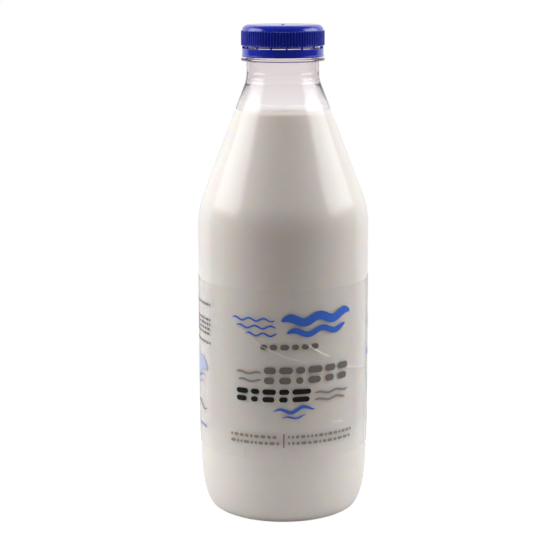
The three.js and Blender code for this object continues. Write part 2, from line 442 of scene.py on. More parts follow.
def roughen(tree, shader, place, scale, low, high):
    """A roughness that wanders between two values."""
    wander = add(tree, "ShaderNodeMapRange", {
        "Value": speckle(tree, place, scale), "To Min": low, "To Max": high})
    tree.links.new(wander.outputs[0], shader.inputs["Roughness"])


def blended(tree, share, first, second):
    """A colour between two colours."""
    mix = add(tree, "ShaderNodeMix", data_type="RGBA")
    feed(tree, mix.inputs[0], share)
    feed(tree, mix.inputs[6], (*first, 1.0))
    feed(tree, mix.inputs[7], (*second, 1.0))
    return mix.outputs[2]


def tint(tree, shader, share, first, second):
    """A base colour that wanders between two colours."""
    tree.links.new(blended(tree, share, first, second), shader.inputs["Base Color"])


def bumped(tree, shader, height, strength, depth):
    """A fine relief on the shader's normal. The depth is in metres."""
    bump = add(tree, "ShaderNodeBump", {"Strength": strength, "Distance": depth, "Height": height})
    tree.links.new(bump.outputs["Normal"], shader.inputs["Normal"])


def let_lamps_through(tree, shader):
    """Clear plastic hardly stops light, so rays from lamps and from what is inside pass it straight."""
    path = tree.nodes.new("ShaderNodeLightPath")
    clear = tree.nodes.new("ShaderNodeBsdfTransparent")
    inner = add(tree, "ShaderNodeMixShader", {
        0: path.outputs["Is Diffuse Ray"], 1: shader.outputs[0], 2: clear.outputs[0]})
    outer = add(tree, "ShaderNodeMixShader", {
        0: path.outputs["Is Shadow Ray"], 1: inner.outputs[0], 2: clear.outputs[0]})
    tree.links.new(outer.outputs[0], tree.nodes["Material Output"].inputs["Surface"])


# %% [markdown]
# The bottle is blown from a clear polyester. It bends light a little more than glass does, has a
# slightly grey cast where it's thick, and its blown wall is a little wavy, which only the reflections
# show. A mix of a Transparent and a Glossy shader would render faster, but it wouldn't bend what is
# seen through the neck, so the wall refracts and its cast comes from absorption inside it.

# %% Clear bottle plastic
def clear_bottle_finish():
    finish, tree, shader, place = start_finish("clear_blown_plastic")
    settle(shader, {"Base Color": (0.98, 0.975, 0.975, 1), "Transmission Weight": 1.0, "IOR": 1.57})
    depth = add(tree, "ShaderNodeVolumeAbsorption", {"Color": (0.38, 0.0, 0.12, 1), "Density": 34.0})
    tree.links.new(depth.outputs[0], tree.nodes["Material Output"].inputs["Volume"])
    roughen(tree, shader, place, 260.0, 0.015, 0.05)
    bumped(tree, shader, speckle(tree, place, 90.0, 1.0), 0.25, 0.0006)
    let_lamps_through(tree, shader)
    return finish


CLEAR_PLASTIC = clear_bottle_finish()

# %% [markdown]
# Milk is white because fat droplets scatter light, and light spreads a few millimetres inside it. Red
# travels furthest, so it looks a little warmer where it turns from bright to dark. A scattering volume
# would do the same, but slowly and with much noise, so this is subsurface scattering.

# %% Milk
def milk_finish():
    finish, tree, shader, place = start_finish("whole_milk")
    tint(tree, shader, speckle(tree, place, 45.0), (0.90, 0.875, 0.835), (0.93, 0.905, 0.87))
    settle(shader, {"Subsurface Weight": 1.0, "Subsurface Radius": (1.0, 0.7, 0.45),
                    "Subsurface Scale": 0.003, "IOR": 1.35, "Specular IOR Level": 0.2})
    roughen(tree, shader, place, 120.0, 0.25, 0.4)
    bumped(tree, shader, speckle(tree, place, 60.0), 0.05, 0.0003)
    return finish


MILK = milk_finish()

# %% [markdown]
# The cap is injection-moulded in a strong blue. The mould's fine grain breaks its gloss a little, but
# its edge still has small bright glints. One gloss is either sharp or soft, so there are two: a soft
# one with a grain, and a thin sharp coat over it.

# %% Blue cap plastic
def cap_finish():
    finish, tree, shader, place = start_finish("blue_moulded_plastic")
    tint(tree, shader, speckle(tree, place, 300.0), (0.011, 0.026, 0.46), (0.016, 0.034, 0.55))
    settle(shader, {"IOR": 1.5, "Specular IOR Level": 0.6, "Coat Weight": 0.7, "Coat Roughness": 0.05})
    roughen(tree, shader, place, 900.0, 0.10, 0.16)
    bumped(tree, shader, speckle(tree, place, 1600.0), 0.1, 0.00002)
    return finish


CAP_BLUE = cap_finish()

# %% [markdown]
# The film is thin, clear and glossy, softer in its shine than the bottle, with faint upright pulls
# from the machine that wrapped it round. A sheet without any refraction would be simpler, but its rims
# and creases wouldn't catch the light.

# %% Clear film
def film_finish():
    finish, tree, shader, place = start_finish("clear_printed_film")
    settle(shader, {"Base Color": (0.985, 0.985, 0.985, 1), "Transmission Weight": 1.0, "IOR": 1.45})
    upright = add(tree, "ShaderNodeMapping", {"Vector": place, "Scale": (1.0, 1.0, 0.12)}).outputs[0]
    roughen(tree, shader, place, 200.0, 0.06, 0.12)
    bumped(tree, shader, speckle(tree, upright, 180.0, 1.0), 0.3, 0.0004)
    let_lamps_through(tree, shader)
    return finish


CLEAR_FILM = film_finish()

# %% [markdown]
# Printing inks are thin and opaque, and each colour is a finish of its own. One more pale ink paints
# highlights on the creases, as thin strokes where their upper flanks catch the light.

# %% Printing inks
def ink_finish(name, first, second):
    finish, tree, shader, place = start_finish(name)
    tint(tree, shader, speckle(tree, place, 700.0, 3.0), first, second)
    roughen(tree, shader, place, 1500.0, 0.3, 0.45)
    return finish


INKS = {
    "blue": ink_finish("blue_ink", (0.045, 0.17, 0.80), (0.07, 0.22, 0.88)),
    "pale": ink_finish("pale_blue_ink", (0.50, 0.54, 0.80), (0.56, 0.60, 0.86)),
    "grey": ink_finish("grey_ink", (0.20, 0.175, 0.162), (0.24, 0.21, 0.195)),
    "light_grey": ink_finish("light_grey_ink", (0.32, 0.29, 0.27), (0.38, 0.35, 0.325)),
    "black": ink_finish("black_ink", (0.008, 0.006, 0.005), (0.018, 0.013, 0.011)),
    # A pale ink that paints highlights along the creases; it is not a colour of the film.
    "crease": ink_finish("painted_crease_highlight", (0.68, 0.665, 0.65), (0.76, 0.745, 0.73)),
}
print("finishes:", len(bpy.data.materials))

# %% [markdown]
# The bottle itself is one closed wall: up the outside, over the mouth, and down the inside. A Solidify
# modifier could give a single surface its wall, but only an even one, and a real neck is thick, as it's
# moulded before blowing. Under it the wall thins in three small steps that show as faint rings.

# %% Clear bottle
SHELL_SEGMENTS = 248
LONGEST_NECK_STEP = 1.5


def bottle_shell_outline():
    """The whole wall as one closed line, from under the base, over the mouth and back inside."""
    neck = rounded([
        (NECK_RADIUS, body[-1][1], 0), (NECK_RADIUS, RING_BOTTOM, 0.35),
        (RING_RADIUS, RING_BOTTOM, RING_EDGE), (RING_RADIUS, RING_TOP, RING_EDGE),
        (FINISH_RADIUS, RING_TOP, 0.25), (FINISH_RADIUS, BEAD_BOTTOM, 0.2),
        (BEAD_RADIUS, BEAD_BOTTOM, 0.3), (BEAD_RADIUS, BEAD_BOTTOM + BEAD_FLAT, 0.4),
        (FINISH_RADIUS, BEAD_TOP, 0.4), (FINISH_RADIUS, MOUTH_TOP, 0.4),
        (BORE_RADIUS, MOUTH_TOP, 0.4), (BORE_RADIUS, STEP_HEIGHTS[0], 0)])
    steps = []
    r = BORE_RADIUS
    for z, depth in zip(STEP_HEIGHTS, STEP_DEPTHS):
        steps += [(r, z, STEP_ROUND), (r + depth, z - STEP_RISE, STEP_ROUND)]
        r += depth
    inside = below(inset(body, WALL), THIN_WALL_TOP)[::-1]
    stair = rounded([(BORE_RADIUS, STEP_HEIGHTS[0] + STAIR_LEAD, 0), *steps, (*inside[0], 0)])
    return body + filled(neck[1:-1] + stair[:-1], LONGEST_NECK_STEP) + inside


shell_mesh = turned("bottle_shell", bottle_shell_outline(), CLEAR_PLASTIC, SHELL_SEGMENTS)
piece("bottle_shell", shell_mesh, "bottle")

# %% [markdown]
# The milk wets the wall, so it's made to reach a little way into the wall's thickness: then no thin gap
# of air shows between them. Its surface is flat, apart from the narrow rim where it climbs the wall.

# %% Milk
MILK_INTO_WALL = 0.12
MENISCUS_RISE = 1.3
MENISCUS_REACH = 1.6
MENISCUS_SPAN = 4 * MENISCUS_REACH
MENISCUS_STEPS = 12
LONGEST_SURFACE_STEP = 2.0


def milk_outline():
    """Up the inside of the wall, then inwards over the milk's surface to the axis."""
    side = below(inset(body, WALL - MILK_INTO_WALL), MILK_LEVEL + MENISCUS_RISE)
    edge = side[-1][0]
    surface = []
    for i in range(1, MENISCUS_STEPS + 1):
        out = MENISCUS_SPAN * i / MENISCUS_STEPS
        surface.append((edge - out, MILK_LEVEL + MENISCUS_RISE * math.exp(-out / MENISCUS_REACH)))
    flat = filled([(surface[-1][0], MILK_LEVEL), (0.0, MILK_LEVEL)], LONGEST_SURFACE_STEP)
    return side + surface + flat[1:]


piece("milk_fill", turned("milk_fill", milk_outline(), MILK), "milk")

# %% [markdown]
# The screw cap is one moulding: a cup with fine ribs, and under it a tamper band that hangs on small
# bridges across an open slit. The slit could be cut out of one solid with booleans, but cut meshes
# shade badly. So cup and band are turned apart, and a second tree sets the bridges between them.

# %% Cap and tamper band
LONGEST_CAP_STEP = 1.6
LONGEST_BAND_STEP = 0.5
RIB_END_STEPS = 10
STEPS_A_RIB = 10
CAP_EDGE_STEPS = 12
BRIDGE_SIDES = 12


def cap_outline():
    """The cup, from the middle of its underside round the skirt to the mark of its moulding gate."""
    top = CAP_TOP
    underside = top - CAP_TOP_THICKNESS
    skirt = rounded([
        (0.0, underside, 0), (CAP_INNER_RADIUS, underside, 1.0), (CAP_INNER_RADIUS, COLLAR_BOTTOM, 0.2),
        (COLLAR_RADIUS, COLLAR_BOTTOM, 0.2), (COLLAR_RADIUS, RIB_BOTTOM, 0.12),
        (CAP_CORE_RADIUS, RIB_BOTTOM, 0.12), (CAP_CORE_RADIUS, RIB_TOP - RIB_END_ZONE, 0)], 4)
    rib_ends = [(CAP_CORE_RADIUS, RIB_TOP - RIB_END_ZONE * (1 - k / RIB_END_STEPS))
                for k in range(1, RIB_END_STEPS + 1)]
    edge = arc(CAP_CORE_RADIUS - CAP_EDGE_ROUND, top - CAP_EDGE_ROUND, CAP_EDGE_ROUND, 0, math.pi / 2,
               CAP_EDGE_STEPS)
    sunk_lid = [(14.0, top - 0.4 * CAP_SINK), (9.0, top - CAP_SINK), (4.0, top - CAP_SINK)]
    gate_mark = [(1.3, top - CAP_SINK), (0.9, top + 0.02), (0.7, top + 0.22), (0.45, top + 0.28),
                 (0.0, top + 0.28)]
    return filled(skirt, LONGEST_CAP_STEP) + rib_ends + edge[1:] + sunk_lid + gate_mark


def band_outline():
    """The tamper band, with a small lip at its lower edge. The line ends where it starts."""
    middle = (BAND_TOP + BAND_BOTTOM) / 2
    lip = BAND_BOTTOM + BAND_LIP_HEIGHT
    ring = rounded([
        (CAP_INNER_RADIUS, middle, 0), (CAP_INNER_RADIUS, BAND_BOTTOM, 0.2),
        (BAND_LIP_RADIUS, BAND_BOTTOM, 0.2), (BAND_LIP_RADIUS, lip, 0.15),
        (BAND_RADIUS, lip + 0.15, 0.1), (BAND_RADIUS, BAND_TOP, 0.2),
        (CAP_INNER_RADIUS, BAND_TOP, 0.2), (CAP_INNER_RADIUS, middle, 0)])
    return filled(ring, LONGEST_BAND_STEP)


def bridge_tree():
    """Small round posts, evenly spaced on a ring across the slit."""
    tree, given, result = start_tree("tamper_bridges", {
        "Count": "Int", "Ring Radius": "Float", "Post Radius": "Float", "Height": "Float",
        "Middle": "Float", "Turn": "Float", "Material": "Material"})
    dots = add(tree, "GeometryNodePoints", {"Count": given["Count"]})
    index = tree.nodes.new("GeometryNodeInputIndex").outputs[0]
    step = maths(tree, "DIVIDE", 2 * math.pi, given["Count"])
    angle = maths(tree, "ADD", maths(tree, "MULTIPLY", index, step), given["Turn"])
    spot = add(tree, "ShaderNodeCombineXYZ", {
        "X": maths(tree, "MULTIPLY", maths(tree, "SINE", angle), given["Ring Radius"]),
        "Y": maths(tree, "MULTIPLY", maths(tree, "COSINE", angle),
                   maths(tree, "MULTIPLY", given["Ring Radius"], -1.0)),
        "Z": given["Middle"]})
    placed = add(tree, "GeometryNodeSetPosition", {
        "Geometry": dots.outputs[0], "Position": spot.outputs[0]})
    post = add(tree, "GeometryNodeMeshCylinder", {
        "Vertices": BRIDGE_SIDES, "Radius": given["Post Radius"], "Depth": given["Height"]})
    posts = add(tree, "GeometryNodeInstanceOnPoints", {
        "Points": placed.outputs["Geometry"], "Instance": post.outputs["Mesh"]})
    end_tree(tree, posts.outputs[0], given, result)
    return tree


def joined(name, meshes):
    """One mesh out of several that share a finish."""
    whole = bmesh.new()
    for mesh in meshes:
        whole.from_mesh(mesh)
    result = bpy.data.meshes.new(name)
    whole.to_mesh(result)
    whole.free()
    for finish in meshes[0].materials:
        result.materials.append(finish)
    return result


cup = turned("cap_cup", cap_outline(), CAP_BLUE, RIB_COUNT * STEPS_A_RIB, rib_count=float(RIB_COUNT),
             rib_height=RIB_HEIGHT * MM, rib_width=RIB_WIDTH * MM, rib_low=RIB_START * MM,
             rib_high=RIB_TOP * MM, rib_radius=CAP_CORE_RADIUS * MM)
band = turned("tamper_band", band_outline(), CAP_BLUE)
bridges = grow("bridges", bpy.data.meshes.new("no_source"), bridge_tree(), {
    "Count": BRIDGE_COUNT, "Ring Radius": (CAP_INNER_RADIUS + CAP_CORE_RADIUS) / 2 * MM,
    "Post Radius": BRIDGE_RADIUS * MM, "Height": (COLLAR_BOTTOM - BAND_TOP + BRIDGE_ROOTS) * MM,
    "Middle": (COLLAR_BOTTOM + BAND_TOP) / 2 * MM, "Turn": BRIDGE_TURN, "Material": CAP_BLUE})
screw_cap = piece("screw_cap", joined("screw_cap", [cup, band, bridges]), "cap")
print(f"screw cap: {len(screw_cap.data.polygons)} faces")

# %% [markdown]
# The film is drawn flat first, as it comes off the roll: across is the way round the bottle and up is
# up, both in millimetres, with the printed front at nought. Then it's wrapped. It has creases where it
# was pulled round. A cloth simulation would crumple it somewhere, but these are to lie where they do on
# the real bottle, so each is modelled as a fine ridge with a shallow dip beside it, and the mesh is
# made finer only near them. The print goes through the same wrapping, so it lies on the film over
# every crease.

# %% Creases, as points on the flat film
CREASES = [
    [(-12.8, 114.0), (-11.0, 110.5), (-8.6, 106.5), (-6.2, 102.6), (-4.8, 99.5)],
    [(-27.0, 101.6), (-22.0, 99.3), (-17.6, 96.6), (-14.2, 93.6), (-11.6, 91.0), (-7.1, 88.9),
     (-2.5, 87.0), (1.5, 85.6), (5.5, 84.0), (9.0, 82.8)],
    [(9.4, 92.2), (13.5, 89.8), (17.5, 87.2), (21.0, 85.2), (24.5, 84.2)],
    [(33.0, 77.4), (38.0, 76.8), (43.0, 75.8), (48.0, 74.4), (54.0, 73.2)],
    [(21.5, 49.8), (25.0, 50.5), (28.5, 50.9), (33.0, 50.5)],
    [(44.0, 49.8), (45.6, 50.8), (47.6, 52.4)],
    [(-20.1, 40.2), (-20.2, 37.6), (-20.0, 35.2)],
    [(-14.0, 40.8), (-13.9, 38.0), (-14.1, 35.4)],
]
CREASE_HEIGHT = 0.36
CREASE_WIDTH = 0.42
DIP_SHIFT = (0.55, 0.75)
DIP_DEPTH = 0.10
DIP_WIDTH = 0.7
CREASE_FADE = 2.5
SEAM_OVERLAP = 5.0
FILM_THICKNESS = 0.05
LAP_RAMP = 3.0
LAP_LIFT = 2.2 * FILM_THICKNESS
RIM_ANGLE = math.radians(60)
CURVE_PARTS = 8


def smooth_line(points):
    """A smooth curve through the points."""
    line = []
    padded = [points[0], *points, points[-1]]
    for i in range(1, len(padded) - 2):
        a, b, c, d = (np.array(p, float) for p in padded[i - 1:i + 3])
        for k in range(CURVE_PARTS):
            t = k / CURVE_PARTS
            line.append(0.5 * (2 * b + (c - a) * t + (2 * a - 5 * b + 4 * c - d) * t * t
                               + (3 * b - a - 3 * c + d) * t ** 3))
    line.append(np.array(points[-1], float))
    return np.array(line)


crease_lines = [smooth_line(points) for points in CREASES]


def distances(places, line):
    """How far each place is from a line, and how far along it the nearest point is from its ends."""
    nearest = np.full(len(places), 1e9)
    to_end = np.zeros(len(places))
    lengths = np.r_[0, np.cumsum(np.linalg.norm(np.diff(line, axis=0), axis=1))]
    for i, (a, b) in enumerate(zip(line, line[1:])):
        along = b - a
        share = np.clip((places - a) @ along / (along @ along), 0, 1)
        away = np.linalg.norm(places - a - share[:, None] * along, axis=1)
        closer = away < nearest
        nearest = np.where(closer, away, nearest)
        at = lengths[i] + share * (lengths[i + 1] - lengths[i])
        to_end = np.where(closer, np.minimum(at, lengths[-1] - at), to_end)
    return nearest, to_end


def crease_lift(places):
    """How far the creases raise the film at places on the flat film."""
    lift = np.zeros(len(places))
    for line in crease_lines:
        away, to_end = distances(places, line)
        fade = np.clip(to_end / CREASE_FADE, 0, 1)
        dip_away = distances(places - np.array(DIP_SHIFT), line)[0]
        lift += fade * CREASE_HEIGHT * np.exp(-(away / CREASE_WIDTH) ** 2)
        lift -= fade * DIP_DEPTH * np.exp(-(dip_away / DIP_WIDTH) ** 2)
    return lift


FILM_ROUND = 2 * math.pi * FILM_RADIUS


def wrap(mesh, gap):
    """Bends a flat mesh, in millimetres, round the bottle. The gap is from the film's inner side."""
    flat = np.empty(len(mesh.vertices) * 3)
    mesh.vertices.foreach_get("co", flat)
    flat = flat.reshape(-1, 3)
    lap = np.clip((flat[:, 0] - FILM_ROUND / 2 + SEAM_OVERLAP) / LAP_RAMP, 0, 1)
    lap = lap * lap * (3 - 2 * lap) * LAP_LIFT
    radius = FILM_RADIUS - FILM_THICKNESS + crease_lift(flat[:, :2]) + lap + gap + flat[:, 2]
    angle = flat[:, 0] / FILM_RADIUS
    bent = np.column_stack([radius * np.sin(angle), -radius * np.cos(angle), flat[:, 1]]) * MM
    mesh.vertices.foreach_set("co", bent.ravel())
    mesh.update()


def thickened(name, flat_mesh, thickness):
    """The sheet with a real thickness outwards. Its rims stay sharp, so that they don't shade dark."""
    carrier = carrier_of(name, flat_mesh)
    solid = carrier.modifiers.new("thickness", "SOLIDIFY")
    solid.thickness = thickness * MM
    solid.offset = 1.0
    mesh = made_by(carrier, name)
    mesh.polygons.foreach_set("use_smooth", [True] * len(mesh.polygons))
    mesh.set_sharp_from_angle(angle=RIM_ANGLE)
    return mesh


# %% Film
FILM_CELL = 1.1
REFINEMENTS = ((1.7, 3), (0.8, 1))


def flat_film():
    """The cut film, lying flat. Edges within each distance of a crease are cut that many times."""
    width = FILM_ROUND + SEAM_OVERLAP
    height = FILM_TOP - FILM_BOTTOM
    columns = round(width / FILM_CELL)
    rows = round(height / FILM_CELL)
    flat = bmesh.new()
    bmesh.ops.create_grid(flat, x_segments=columns, y_segments=rows, size=0.5)
    for v in flat.verts:
        v.co.x = v.co.x * width + SEAM_OVERLAP / 2
        v.co.y = v.co.y * height + (FILM_TOP + FILM_BOTTOM) / 2
    for within, cuts in REFINEMENTS:
        edges = list(flat.edges)
        middles = np.array([((e.verts[0].co + e.verts[1].co) / 2)[:2] for e in edges])
        near = np.zeros(len(edges), bool)
        for line in crease_lines:
            near |= distances(middles, line)[0] < within
        chosen = [e for e, keep in zip(edges, near) if keep]
        bmesh.ops.subdivide_edges(flat, edges=chosen, cuts=cuts, use_grid_fill=True)
    mesh = bpy.data.meshes.new("clear_film")
    flat.to_mesh(mesh)
    flat.free()
    return mesh


film_mesh = flat_film()
wrap(film_mesh, 0.0)
film_mesh.materials.append(CLEAR_FILM)
clear_film = piece("clear_film", thickened("clear_film", film_mesh, FILM_THICKNESS),
                   "label_film")
print(f"film: {len(clear_film.data.polygons)} faces")

# %% [markdown]
# The print is generic: waves, pills, dashes and brush strokes in the inks' colours. It could be an
# image, but drawn shapes stay sharp at any distance and need no file. Every mark is a pen stroke, a
# path with a half-width at each point, and a third tree sweeps a flat nib along the paths.

# %% The tree that draws pen strokes
NIB_POINTS = 5
STROKE_MERGE = 0.005


def stroke_tree():
    """A flat ribbon along each path, as wide as the path's radius says."""
    tree, given, result = start_tree("pen_strokes", {"Step": "Float", "Material": "Material"})
    even = add(tree, "GeometryNodeResampleCurve", {"Curve": given["Geometry"], "Length": given["Step"]},
               mode="LENGTH")
    upright = add(tree, "GeometryNodeSetCurveNormal", {"Curve": even.outputs[0]}, mode="Z_UP")
    nib = add(tree, "GeometryNodeCurvePrimitiveLine", {"Start": (-1.0, 0.0, 0.0), "End": (1.0, 0.0, 0.0)})
    nib_steps = add(tree, "GeometryNodeResampleCurve", {"Curve": nib.outputs[0], "Count": NIB_POINTS},
                    mode="COUNT")
    width = tree.nodes.new("GeometryNodeInputRadius").outputs[0]
    swept = add(tree, "GeometryNodeCurveToMesh", {
        "Curve": upright.outputs[0], "Profile Curve": nib_steps.outputs[0], "Scale": width})
    merged = add(tree, "GeometryNodeMergeByDistance", {
        "Geometry": swept.outputs[0], "Distance": STROKE_MERGE})
    end_tree(tree, merged.outputs[0], given, result)
    return tree


STROKES = stroke_tree()

# %% Marks, each a list of (across, up, half-width) in millimetres
marks = {ink: [] for ink in INKS}
PILL_END_STEPS = 6
WAVE_STEPS_A_MM = 2
FEWEST_WAVE_STEPS = 24


def pill(ink, left, right, middle, height, slope):
    """A bar with round ends."""
    r = min(height, right - left) / 2
    path = []
    for k in range(PILL_END_STEPS + 1):
        a = math.pi / 2 * k / PILL_END_STEPS
        path.append((left + r * (1 - math.cos(a)), r * math.sin(a)))
    path += [(left + right - u, w) for u, w in reversed(path)]
    half = height / 2 / r
    marks[ink].append([(u, middle + slope * (u - left), w * half) for u, w in path])


def dashes(ink, left, right, middle, height, shortest, longest, gap, seed, slope=0.0):
    """A row of small bars of uneven lengths, like a line of small print seen from afar."""
    draw = random.Random(seed)
    u = left
    while u < right - shortest:
        end = min(u + draw.uniform(shortest, longest), right)
        pill(ink, u, end, middle + slope * (u - left), height, slope)
        u = end + gap


def wave(ink, left, right, middle, swing, turns, width, taper, slope=0.0):
    """A wavy brush stroke that thins towards its ends."""
    path = []
    steps = max(FEWEST_WAVE_STEPS, round((right - left) * WAVE_STEPS_A_MM))
    for k in range(steps + 1):
        t = k / steps
        ends = min(1.0, t / taper, (1 - t) / taper)
        u = left + (right - left) * t
        up = middle + slope * (u - left) + swing * math.sin(2 * math.pi * turns * t)
        path.append((u, up, width / 2 * math.sqrt(max(ends, 0.0))))
    marks[ink].append(path)


# %% Front panel
SLOPE = 0.008


def front_panel():
    """Thin and bold waves over rows of pills, with a brush stroke and fine dashes under them."""
    for row, (left, right) in enumerate(((-26.4, -4.0), (-24.0, -3.4), (-19.0, -3.0))):
        wave("blue", left, right, 103.6 - 3.6 * row, 0.7, 3.0 - 0.4 * row, 0.9, 0.1)
    wave("blue", -1.0, 36.5, 103.0, 1.3, 2.5, 4.2, 0.12, 0.06)
    wave("blue", 1.5, 33.0, 97.0, 1.2, 2.2, 2.8, 0.12, 0.06)
    dashes("grey", -11.4, 18.4, 90.2, 2.7, 2.7, 4.6, 1.2, 11, SLOPE)
    for left, right, middle, turns in ((-24.2, -10.8, 77.2, 1.5), (-23.0, -10.8, 73.4, 1.3),
                                       (15.2, 35.2, 67.0, 2.0), (15.2, 33.4, 63.6, 1.8)):
        wave("light_grey", left, right, middle, 0.5, turns, 1.1, 0.1, SLOPE)
    for left, right in ((-9.6, -3.6), (-2.2, 4.6), (6.0, 10.6), (12.0, 19.6), (21.0, 27.0), (28.4, 35.0)):
        pill("grey", left, right, 78.8 + SLOPE * left, 3.3, SLOPE)
        pill("grey", left, right - 0.9, 73.8 + SLOPE * left, 3.3, SLOPE)
    for left, right in ((-24.0, -17.6), (-16.2, -11.8), (-10.4, -3.6), (-2.2, 2.8), (4.2, 13.6)):
        pill("black", left, right, 68.2 + SLOPE * left, 2.6, SLOPE)
        pill("black", left, right - 0.8, 64.4 + SLOPE * left, 2.6, SLOPE)
    wave("blue", -5.0, 15.6, 58.2, 1.1, 1.75, 1.7, 0.3, 0.10)
    wave("blue", -1.0, 11.0, 55.0, 0.6, 1.25, 0.9, 0.3, 0.10)
    for middle, seed in ((45.6, 21), (42.4, 22)):
        dashes("light_grey", -27.6, -1.6, middle, 1.5, 1.2, 3.0, 0.6, seed)
        dashes("light_grey", 2.0, 38.2, middle + 0.1, 1.5, 1.2, 3.0, 0.6, seed + 10)
    marks["grey"].append([(0.1, 40.4, 0.3), (0.1, 47.2, 0.3)])


front_panel()


# %% Side and back panels
def side_panels():
    """Fine dashes and small waves to the left and right of the front panel."""
    for middle, seed in ((106.9, 31), (99.4, 32), (97.0, 33), (94.6, 34), (92.2, 35), (87.6, 36)):
        dashes("grey", -86.0, -42.5, middle, 1.3, 1.2, 3.0, 0.7, seed)
    wave("pale", -84.0, -46.5, 74.0, 2.2, 1.5, 8.5, 0.25)
    wave("blue", -82.0, -48.5, 69.4, 1.2, 2.5, 0.7, 0.2)
    wave("blue", -80.0, -50.0, 65.8, 1.0, 2.5, 0.5, 0.2)
    wave("black", -78.0, -46.0, 54.4, 1.6, 2.0, 0.8, 0.25)
    dashes("blue", -80.0, -47.0, 44.2, 1.2, 2.0, 4.0, 1.2, 41)
    wave("blue", 57.2, 72.0, 79.0, 1.4, 1.0, 3.2, 0.3)
    for k, middle in enumerate((98.0, 95.4, 92.8, 68.0, 65.4, 62.8, 60.2, 46.0, 43.4)):
        dashes("grey", 60.0, 104.0, middle, 1.0, 1.2, 3.4, 0.8, 51 + k)


side_panels()


# %% Painted highlights: one pale stroke on the upper flank of each crease, where its ridge catches the light
FOLD_SHIFT = 0.26
FOLD_HALF_WIDTH = 0.13
FOLD_FADE_POINTS = 6.0


def paint_fold_highlights():
    """One thin stroke of painted highlight beside each crease's ridge, thinning to nothing at both ends."""
    for line in crease_lines:
        along = np.gradient(line, axis=0)
        across = np.column_stack([-along[:, 1], along[:, 0]]) / np.linalg.norm(along, axis=1)[:, None]
        across *= np.sign(across[:, 1:] + 1e-9)
        flank = line + across * FOLD_SHIFT
        ends = np.minimum(np.arange(len(line)), np.arange(len(line))[::-1]) / FOLD_FADE_POINTS
        half = FOLD_HALF_WIDTH * np.clip(ends, 0.0, 1.0)
        marks["crease"].append([(u, up, w) for (u, up), w in zip(flank, half)])


paint_fold_highlights()
print("marks:", {ink: len(paths) for ink, paths in marks.items()})

# %% Print on the film
INK_LIFT = 0.012
INK_THICKNESS = 0.02
STROKE_STEP = 0.35
# The crease strokes made here are painted highlights on the creases, not print.
for ink, paths in marks.items():
    pen = bpy.data.curves.new("pen_" + ink, "CURVE")
    pen.dimensions = "3D"
    for path in paths:
        spline = pen.splines.new("POLY")
        spline.points.add(len(path) - 1)
        for dot, (u, up, half) in zip(spline.points, path):
            dot.co = (u, up, 0.0, 1.0)
            dot.radius = half
    flat_print = grow("flat_" + ink, pen, STROKES, {"Step": STROKE_STEP, "Material": INKS[ink]})
    wrap(flat_print, FILM_THICKNESS + INK_LIFT)
    printed = piece("print_" + ink, thickened("print_" + ink, flat_print, INK_THICKNESS))
    print(f"print_{ink}: {len(printed.data.polygons)} faces")

# %% [markdown]
# A product studio: a pale table and a white background, with a big soft box at each side. The front
# gets little light, which is why the bottle is darkest down its middle and bright at both edges. The
# boxes fade out towards their edges, as a real one's cloth does, and that gives the soft stripes on the
# shoulder. Two small panels close by and one overhead only fill in, so reflections and clear plastic
# don't show them. An environment picture could light it too, but lamps can be moved one at a time.

# %% Table
TABLE_RADIUS = 0.9
TABLE_SIDES = 96
TABLE_FADE = (0.08, 0.24)
TABLE_GLOW = 0.90
TABLE_SHADE = (0.35, 0.35, 0.35, 1)


def table():
    """A round pale top. Seen directly, it glows nearly white and fades into the background."""
    mesh = bpy.data.meshes.new("table_top")
    disc = bmesh.new()
    bmesh.ops.create_circle(disc, cap_ends=True, segments=TABLE_SIDES, radius=TABLE_RADIUS)
    disc.to_mesh(mesh)
    disc.free()
    finish, tree, shader, place = start_finish("pale_table")
    tint(tree, shader, speckle(tree, place, 30.0), (0.63, 0.625, 0.62), (0.67, 0.665, 0.66))
    settle(shader, {"Roughness": 0.6})
    glow = add(tree, "ShaderNodeEmission", {"Color": (1, 1, 1, 1), "Strength": TABLE_GLOW})
    shade = add(tree, "ShaderNodeBsdfDiffuse", {"Color": TABLE_SHADE})
    bright = add(tree, "ShaderNodeAddShader", {0: glow.outputs[0], 1: shade.outputs[0]})
    path = tree.nodes.new("ShaderNodeLightPath")
    seen = add(tree, "ShaderNodeMixShader", {
        0: path.outputs["Is Camera Ray"], 1: shader.outputs[0], 2: bright.outputs[0]})
    away = add(tree, "ShaderNodeVectorMath", {0: place}, operation="LENGTH").outputs["Value"]
    fade = add(tree, "ShaderNodeMapRange", {"Value": away, "From Min": TABLE_FADE[0],
                                            "From Max": TABLE_FADE[1]}, interpolation_type="SMOOTHSTEP")
    clear = tree.nodes.new("ShaderNodeBsdfTransparent")
    edge = add(tree, "ShaderNodeMixShader", {
        0: fade.outputs[0], 1: seen.outputs[0], 2: clear.outputs[0]})
    tree.links.new(edge.outputs[0], tree.nodes["Material Output"].inputs["Surface"])
    mesh.materials.append(finish)
    top = bpy.data.objects.new("table_top", mesh)
    scene.collection.objects.link(top)
    print(f"table: {TABLE_RADIUS} m from its middle to its rim")


table()

# %% Soft boxes
SOFT_FROM = 0.22
PANEL_EDGE = 0.5


def soften(lamp):
    """Fades a panel out towards its edges, as the cloth of a real soft box does."""
    lamp.use_nodes = True
    tree = lamp.node_tree
    on_panel = tree.nodes.new("ShaderNodeNewGeometry").outputs["Parametric"]
    spot = add(tree, "ShaderNodeSeparateXYZ", {0: on_panel})
    fades = []
    for way in ("X", "Y"):
        off = maths(tree, "ABSOLUTE", maths(tree, "SUBTRACT", spot.outputs[way], PANEL_EDGE))
        fades.append(add(tree, "ShaderNodeMapRange", {
            "Value": off, "From Min": SOFT_FROM, "From Max": PANEL_EDGE, "To Min": 1.0, "To Max": 0.0},
            interpolation_type="SMOOTHSTEP").outputs[0])
    tree.links.new(maths(tree, "MULTIPLY", *fades), tree.nodes["Emission"].inputs["Strength"])


